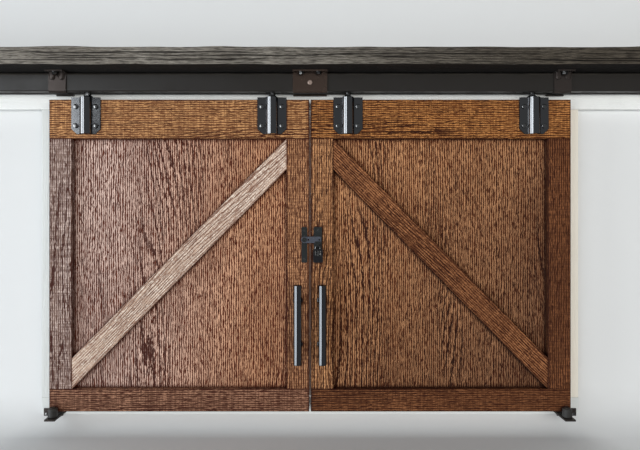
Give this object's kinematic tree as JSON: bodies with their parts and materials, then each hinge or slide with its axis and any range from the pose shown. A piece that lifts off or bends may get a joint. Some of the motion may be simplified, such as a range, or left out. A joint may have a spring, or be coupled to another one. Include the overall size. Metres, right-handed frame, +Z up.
{
  "type": "sliding barn doors",
  "caption": "Sliding barn doors with rough-sawn braced leaves on a black box rail under a timber hood, with white trim frame, tube handles, flip latch and padlock.",
  "frame": {"origin": "on the wall plane, where the meeting line of the two leaves crosses the height of their bottom edges; it lies in the back face of the sill board", "axes": "+X to the right of someone who faces the doors, +Y into the wall, +Z up"},
  "size_m": [3.065, 0.159, 1.14],
  "materials": {
    "white_trim": "white exterior paint over wood, satin",
    "weathered_timber": "bare weathered timber, grey brown, matte",
    "panel_wood": "rough-sawn plywood with dark red-brown stain",
    "board_wood": "rough-sawn boards with brown stain",
    "rail_paint": "black powder coat, satin",
    "black_steel": "black powder coat, satin",
    "handle_paint": "black enamel, half gloss",
    "black_screws": "black coated steel, worn at the edges",
    "zinc_steel": "zinc plated steel, dull",
    "wheel_steel": "turned steel",
    "roller_plastic": "black nylon, matte",
    "lock_paint": "black enamel",
    "shackle_steel": "black coated steel rod"
  },
  "bodies": {
    "frame": {"header_board": "white_trim", "left_casing": "white_trim", "right_casing": "white_trim", "sill_board": "white_trim", "hood_beam": "weathered_timber", "left_rail": "rail_paint", "right_rail": "rail_paint", "splice_bracket": "black_steel", "rail_brackets": "black_steel", "lag_screws": "black_screws", "rail_stops": "black_steel", "left_guide_bracket": "black_steel", "right_guide_bracket": "black_steel", "guide_screws": "black_screws"},
    "left_leaf": {"left_panel": "panel_wood", "left_top_rail": "board_wood", "left_bottom_rail": "board_wood", "left_inner_stile": "board_wood", "left_outer_stile": "board_wood", "left_brace": "board_wood", "left_inner_hanger": "black_steel", "left_outer_hanger": "black_steel", "left_hanger_bolts": "black_screws", "left_pendant_nuts": "black_screws", "left_inner_trolley": "zinc_steel", "left_outer_trolley": "zinc_steel", "left_handle": "handle_paint", "left_handle_screws": "black_screws", "latch_plate": "black_steel"},
    "left_inner_near_wheels": {"left_inner_trolley_near_wheels": "wheel_steel"},
    "left_inner_far_wheels": {"left_inner_trolley_far_wheels": "wheel_steel"},
    "left_outer_near_wheels": {"left_outer_trolley_near_wheels": "wheel_steel"},
    "left_outer_far_wheels": {"left_outer_trolley_far_wheels": "wheel_steel"},
    "left_guide_roller": {"left_guide_roller": "roller_plastic"},
    "right_leaf": {"right_panel": "panel_wood", "right_top_rail": "board_wood", "right_bottom_rail": "board_wood", "right_inner_stile": "board_wood", "right_outer_stile": "board_wood", "right_brace": "board_wood", "right_inner_hanger": "black_steel", "right_outer_hanger": "black_steel", "right_hanger_bolts": "black_screws", "right_pendant_nuts": "black_screws", "right_inner_trolley": "zinc_steel", "right_outer_trolley": "zinc_steel", "right_handle": "handle_paint", "right_handle_screws": "black_screws", "keeper_plate": "black_steel"},
    "right_inner_near_wheels": {"right_inner_trolley_near_wheels": "wheel_steel"},
    "right_inner_far_wheels": {"right_inner_trolley_far_wheels": "wheel_steel"},
    "right_outer_near_wheels": {"right_outer_trolley_near_wheels": "wheel_steel"},
    "right_outer_far_wheels": {"right_outer_trolley_far_wheels": "wheel_steel"},
    "right_guide_roller": {"right_guide_roller": "roller_plastic"},
    "latch_bar": {"latch_bar": "black_steel"},
    "padlock_shackle": {"padlock_shackle": "shackle_steel"},
    "padlock_body": {"padlock_body": "lock_paint"},
    "padlock_dial_1": {"padlock_dial_1": "lock_paint"},
    "padlock_dial_2": {"padlock_dial_2": "lock_paint"},
    "padlock_dial_3": {"padlock_dial_3": "lock_paint"}
  },
  "joints": [
    {"name": "left_slide", "type": "slide", "parent": "frame", "child": "left_leaf", "axis": [-1, 0, 0], "range_m": [0, 0.72]},
    {"name": "left_inner_near_roll", "type": "hinge", "parent": "left_leaf", "child": "left_inner_near_wheels", "pos_m": [-0.0813, -0.0517, 0.9576], "axis": [0, -1, 0], "continuous": true},
    {"name": "left_inner_far_roll", "type": "hinge", "parent": "left_leaf", "child": "left_inner_far_wheels", "pos_m": [-0.1413, -0.0517, 0.9576], "axis": [0, -1, 0], "continuous": true},
    {"name": "left_outer_near_roll", "type": "hinge", "parent": "left_leaf", "child": "left_outer_near_wheels", "pos_m": [-0.6257, -0.0517, 0.9576], "axis": [0, -1, 0], "continuous": true},
    {"name": "left_outer_far_roll", "type": "hinge", "parent": "left_leaf", "child": "left_outer_far_wheels", "pos_m": [-0.6857, -0.0517, 0.9576], "axis": [0, -1, 0], "continuous": true},
    {"name": "left_guide_roll", "type": "hinge", "parent": "frame", "child": "left_guide_roller", "pos_m": [-0.7475, -0.0789, 0.0018], "axis": [0, 0, 1], "continuous": true},
    {"name": "right_slide", "type": "slide", "parent": "frame", "child": "right_leaf", "axis": [1, 0, 0], "range_m": [0, 0.72]},
    {"name": "right_inner_near_roll", "type": "hinge", "parent": "right_leaf", "child": "right_inner_near_wheels", "pos_m": [0.0813, -0.0517, 0.9576], "axis": [0, 1, 0], "continuous": true},
    {"name": "right_inner_far_roll", "type": "hinge", "parent": "right_leaf", "child": "right_inner_far_wheels", "pos_m": [0.1413, -0.0517, 0.9576], "axis": [0, 1, 0], "continuous": true},
    {"name": "right_outer_near_roll", "type": "hinge", "parent": "right_leaf", "child": "right_outer_near_wheels", "pos_m": [0.6257, -0.0517, 0.9576], "axis": [0, 1, 0], "continuous": true},
    {"name": "right_outer_far_roll", "type": "hinge", "parent": "right_leaf", "child": "right_outer_far_wheels", "pos_m": [0.6857, -0.0517, 0.9576], "axis": [0, 1, 0], "continuous": true},
    {"name": "right_guide_roll", "type": "hinge", "parent": "frame", "child": "right_guide_roller", "pos_m": [0.7475, -0.0789, 0.0018], "axis": [0, 0, -1], "continuous": true},
    {"name": "latch_flip", "type": "hinge", "parent": "left_leaf", "child": "latch_bar", "pos_m": [-0.01665, -0.0709, 0.5038], "axis": [0, -1, 0], "range_deg": [0, 270]},
    {"name": "padlock_swing", "type": "hinge", "parent": "right_leaf", "child": "padlock_shackle", "pos_m": [0.023, -0.0745, 0.48625], "axis": [-1, 0, 0], "range_deg": [0, 75]},
    {"name": "padlock_pull", "type": "slide", "parent": "padlock_shackle", "child": "padlock_body", "axis": [0, 0, -1], "range_m": [0, 0.008]},
    {"name": "dial_1_turn", "type": "hinge", "parent": "padlock_body", "child": "padlock_dial_1", "pos_m": [0.0164, -0.085, 0.46545], "axis": [1, 0, 0], "continuous": true},
    {"name": "dial_2_turn", "type": "hinge", "parent": "padlock_body", "child": "padlock_dial_2", "pos_m": [0.023, -0.085, 0.46545], "axis": [1, 0, 0], "continuous": true},
    {"name": "dial_3_turn", "type": "hinge", "parent": "padlock_body", "child": "padlock_dial_3", "pos_m": [0.0296, -0.085, 0.46545], "axis": [1, 0, 0], "continuous": true}
  ],
  "couplings": [
    {"joint": "left_inner_near_roll", "follows": "left_slide", "rad_per_m": 54.054},
    {"joint": "left_inner_far_roll", "follows": "left_slide", "rad_per_m": 54.054},
    {"joint": "left_outer_near_roll", "follows": "left_slide", "rad_per_m": 54.054},
    {"joint": "left_outer_far_roll", "follows": "left_slide", "rad_per_m": 54.054},
    {"joint": "left_guide_roll", "follows": "left_slide", "rad_per_m": 74.074},
    {"joint": "right_inner_near_roll", "follows": "right_slide", "rad_per_m": 54.054},
    {"joint": "right_inner_far_roll", "follows": "right_slide", "rad_per_m": 54.054},
    {"joint": "right_outer_near_roll", "follows": "right_slide", "rad_per_m": 54.054},
    {"joint": "right_outer_far_roll", "follows": "right_slide", "rad_per_m": 54.054},
    {"joint": "right_guide_roll", "follows": "right_slide", "rad_per_m": 74.074}
  ]
}
